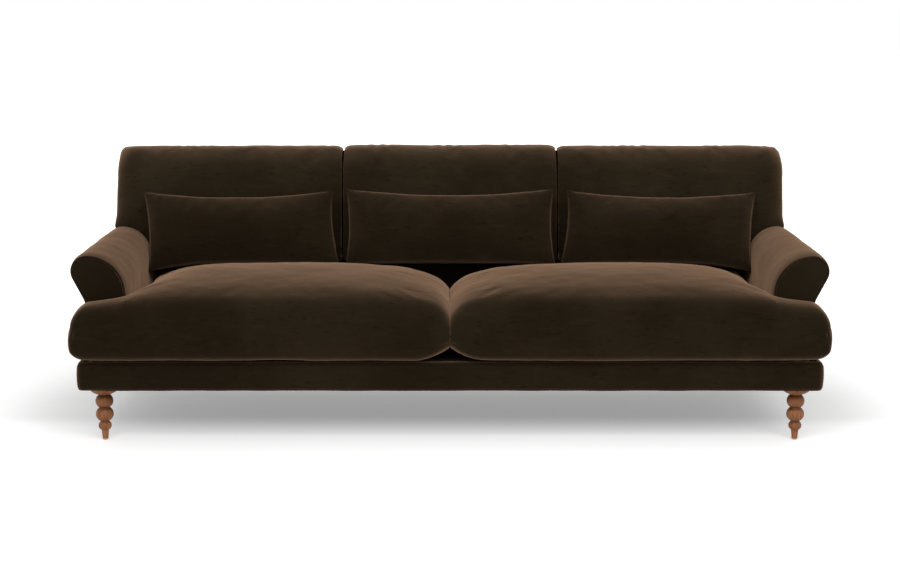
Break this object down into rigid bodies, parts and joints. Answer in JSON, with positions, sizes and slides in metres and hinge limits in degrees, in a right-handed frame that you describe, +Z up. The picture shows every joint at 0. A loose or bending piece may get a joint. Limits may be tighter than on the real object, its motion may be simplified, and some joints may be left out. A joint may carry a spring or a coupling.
{
  "type": "english roll arm sofa",
  "caption": "Long english roll arm sofa in dark velvet, with loose T-shaped seat cushions, attached back cushions, lumbar pillows and turned bobbin legs.",
  "frame": {"origin": "on the floor under the middle of the sofa's overall box", "axes": "+X to the right seen from the front, -Y towards the front, +Z up"},
  "size_m": [2.4216, 1.0489, 0.8734],
  "materials": {
    "velvet": "short-pile velvet",
    "frame_timber": "sawn, unfinished",
    "leg_wood": "turned, satin lacquer",
    "glide_nylon": "moulded",
    "spring_steel": "drawn wire",
    "deck_cloth": "plain weave over felt",
    "dust_cloth": "non-woven"
  },
  "bodies": {
    "frame": {"base_cover_front": "velvet", "base_cover_rear": "velvet", "base_cover_left": "velvet", "base_cover_right": "velvet", "arm_cover_left": "velvet", "arm_cover_right": "velvet", "arm_front_panel_left": "velvet", "arm_front_panel_right": "velvet", "arm_front_welt_left": "velvet", "arm_front_welt_right": "velvet", "back_cover": "velvet", "back_cushion_left": "velvet", "back_cushion_centre": "velvet", "back_cushion_right": "velvet", "front_rail": "frame_timber", "rear_rail": "frame_timber", "side_rail_left": "frame_timber", "side_rail_right": "frame_timber", "centre_stretcher": "frame_timber", "corner_block_front_left": "frame_timber", "corner_block_front_right": "frame_timber", "corner_block_rear_left": "frame_timber", "corner_block_rear_right": "frame_timber", "arm_front_board_left": "frame_timber", "arm_front_board_right": "frame_timber", "arm_rear_board_left": "frame_timber", "arm_rear_board_right": "frame_timber", "arm_top_rail_left": "frame_timber", "arm_top_rail_right": "frame_timber", "arm_slat_left": "frame_timber", "arm_slat_right": "frame_timber", "back_post_left": "frame_timber", "back_post_right": "frame_timber", "back_upright_left": "frame_timber", "back_upright_right": "frame_timber", "back_top_rail": "frame_timber", "back_bottom_rail": "frame_timber", "leg_front_left": "leg_wood", "leg_front_right": "leg_wood", "leg_rear_left": "leg_wood", "leg_rear_right": "leg_wood", "leg_glide_front_left": "glide_nylon", "leg_glide_front_right": "glide_nylon", "leg_glide_rear_left": "glide_nylon", "leg_glide_rear_right": "glide_nylon", "seat_spring_left_1": "spring_steel", "seat_spring_left_2": "spring_steel", "seat_spring_left_3": "spring_steel", "seat_spring_right_1": "spring_steel", "seat_spring_right_2": "spring_steel", "seat_spring_right_3": "spring_steel", "seat_deck": "deck_cloth", "back_lining": "deck_cloth", "dust_cover": "dust_cloth"},
    "seat_cushion_left": {"seat_cushion_left": "velvet"},
    "seat_cushion_right": {"seat_cushion_right": "velvet"},
    "lumbar_pillow_left": {"lumbar_pillow_left": "velvet"},
    "lumbar_pillow_centre": {"lumbar_pillow_centre": "velvet"},
    "lumbar_pillow_right": {"lumbar_pillow_right": "velvet"}
  },
  "joints": [
    {"name": "seat_cushion_left_pull", "type": "slide", "parent": "frame", "child": "seat_cushion_left", "axis": [0, -1, 0], "range_m": [0, 0.85]},
    {"name": "seat_cushion_right_pull", "type": "slide", "parent": "frame", "child": "seat_cushion_right", "axis": [0, -1, 0], "range_m": [0, 0.85]},
    {"name": "lumbar_pillow_left_lift", "type": "slide", "parent": "frame", "child": "lumbar_pillow_left", "axis": [0, 0, 1], "range_m": [0, 0.45]},
    {"name": "lumbar_pillow_centre_lift", "type": "slide", "parent": "frame", "child": "lumbar_pillow_centre", "axis": [0, 0, 1], "range_m": [0, 0.45]},
    {"name": "lumbar_pillow_right_lift", "type": "slide", "parent": "frame", "child": "lumbar_pillow_right", "axis": [0, 0, 1], "range_m": [0, 0.45]}
  ]
}
